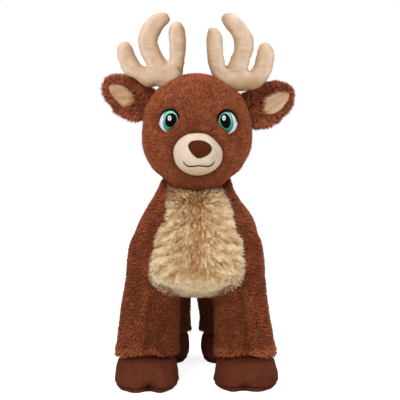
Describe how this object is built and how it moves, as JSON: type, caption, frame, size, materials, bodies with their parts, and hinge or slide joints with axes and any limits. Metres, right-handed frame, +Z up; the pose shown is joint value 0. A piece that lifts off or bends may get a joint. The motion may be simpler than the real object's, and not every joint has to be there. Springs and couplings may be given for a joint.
{
  "type": "plush deer",
  "caption": "Standing stuffed deer in brown short-pile plush with a shaggy cream chest, leaf ears, padded antlers and suede hooves.",
  "frame": {"origin": "On the floor, under the middle of the whole deer", "axes": "+Z up from the hooves to the antler tips, -Y the way the deer faces, +X to its own left (right as seen from the front)"},
  "size_m": [0.2072, 0.2658, 0.4102],
  "materials": {
    "brown_pile": "short dense plush pile, matte",
    "cream_shag": "long shaggy pile in clumps, matte",
    "cream_plush": "short soft plush, matte",
    "antler_plush": "smooth short plush, matte",
    "hoof_suede": "suede cloth, matte",
    "nose_plush": "satin-stitched thread",
    "eye_thread": "embroidered thread, slight sheen",
    "stuffing": "loose polyester fibre"
  },
  "bodies": {
    "torso": {"chest_panel": "cream_shag", "torso_side_left": "brown_pile", "torso_side_right": "brown_pile", "torso_stuffing": "stuffing"},
    "neck": {"neck_stuffing": "stuffing"},
    "head": {"head_gusset": "brown_pile", "head_side_left": "brown_pile", "head_side_right": "brown_pile", "head_stuffing": "stuffing", "muzzle_cover": "cream_plush", "muzzle_stuffing": "stuffing", "nose_patch": "nose_plush", "eye_left": "eye_thread", "eye_right": "eye_thread"},
    "ear_left": {"ear_back_left": "brown_pile", "ear_lining_left": "cream_plush"},
    "antler_left": {"antler_front_left": "antler_plush", "antler_back_left": "antler_plush", "antler_stuffing_left": "stuffing"},
    "ear_right": {"ear_back_right": "brown_pile", "ear_lining_right": "cream_plush"},
    "antler_right": {"antler_front_right": "antler_plush", "antler_back_right": "antler_plush", "antler_stuffing_right": "stuffing"},
    "leg_front_left": {"leg_outer_front_left": "brown_pile", "leg_inner_front_left": "brown_pile", "leg_stuffing_front_left": "stuffing", "hoof_cover_front_left": "hoof_suede", "hoof_stuffing_front_left": "stuffing", "hoof_sole_front_left": "hoof_suede"},
    "leg_front_right": {"leg_outer_front_right": "brown_pile", "leg_inner_front_right": "brown_pile", "leg_stuffing_front_right": "stuffing", "hoof_cover_front_right": "hoof_suede", "hoof_stuffing_front_right": "stuffing", "hoof_sole_front_right": "hoof_suede"},
    "leg_rear_left": {"leg_outer_rear_left": "brown_pile", "leg_inner_rear_left": "brown_pile", "leg_stuffing_rear_left": "stuffing", "hoof_cover_rear_left": "hoof_suede", "hoof_stuffing_rear_left": "stuffing", "hoof_sole_rear_left": "hoof_suede"},
    "leg_rear_right": {"leg_outer_rear_right": "brown_pile", "leg_inner_rear_right": "brown_pile", "leg_stuffing_rear_right": "stuffing", "hoof_cover_rear_right": "hoof_suede", "hoof_stuffing_rear_right": "stuffing", "hoof_sole_rear_right": "hoof_suede"},
    "tail": {"tail_top": "brown_pile", "tail_under": "cream_plush"}
  },
  "joints": [
    {"name": "head_turn", "type": "hinge", "parent": "torso", "child": "neck", "pos_m": [-0.00136, -0.0554, 0.281], "axis": [0, 0, 1], "range_deg": [-20, 20], "stiffness_Nm_per_rad": 0.25},
    {"name": "head_nod", "type": "hinge", "parent": "neck", "child": "head", "pos_m": [-0.00136, -0.0554, 0.281], "axis": [1, 0, 0], "range_deg": [-12, 10], "stiffness_Nm_per_rad": 0.6},
    {"name": "ear_flop_left", "type": "hinge", "parent": "head", "child": "ear_left", "pos_m": [-0.05033, -0.0318, 0.29752], "axis": [0, -1, 0], "range_deg": [-10, 20], "stiffness_Nm_per_rad": 0.02},
    {"name": "ear_flop_right", "type": "hinge", "parent": "head", "child": "ear_right", "pos_m": [0.04761, -0.0318, 0.29752], "axis": [0, 1, 0], "range_deg": [-10, 20], "stiffness_Nm_per_rad": 0.02},
    {"name": "antler_tip_left", "type": "hinge", "parent": "head", "child": "antler_left", "pos_m": [-0.02846, -0.0554, 0.33644], "axis": [1, 0, 0], "range_deg": [-8, 8], "stiffness_Nm_per_rad": 0.05},
    {"name": "antler_tip_right", "type": "hinge", "parent": "head", "child": "antler_right", "pos_m": [0.02573, -0.0554, 0.33644], "axis": [1, 0, 0], "range_deg": [-8, 8], "stiffness_Nm_per_rad": 0.05},
    {"name": "leg_front_left_swing", "type": "hinge", "parent": "torso", "child": "leg_front_left", "pos_m": [-0.04546, -0.0563, 0.14806], "axis": [1, 0, 0], "range_deg": [-10, 10], "stiffness_Nm_per_rad": 1.5},
    {"name": "leg_front_right_swing", "type": "hinge", "parent": "torso", "child": "leg_front_right", "pos_m": [0.04274, -0.0563, 0.14806], "axis": [1, 0, 0], "range_deg": [-10, 10], "stiffness_Nm_per_rad": 1.5},
    {"name": "leg_rear_left_swing", "type": "hinge", "parent": "torso", "child": "leg_rear_left", "pos_m": [-0.03776, 0.06363, 0.13792], "axis": [1, 0, 0], "range_deg": [-10, 10], "stiffness_Nm_per_rad": 1.5},
    {"name": "leg_rear_right_swing", "type": "hinge", "parent": "torso", "child": "leg_rear_right", "pos_m": [0.03503, 0.06363, 0.13792], "axis": [1, 0, 0], "range_deg": [-10, 10], "stiffness_Nm_per_rad": 1.5},
    {"name": "tail_lift", "type": "hinge", "parent": "torso", "child": "tail", "pos_m": [-0.00136, 0.10143, 0.16362], "axis": [1, 0, 0], "range_deg": [-10, 20], "stiffness_Nm_per_rad": 0.02}
  ]
}
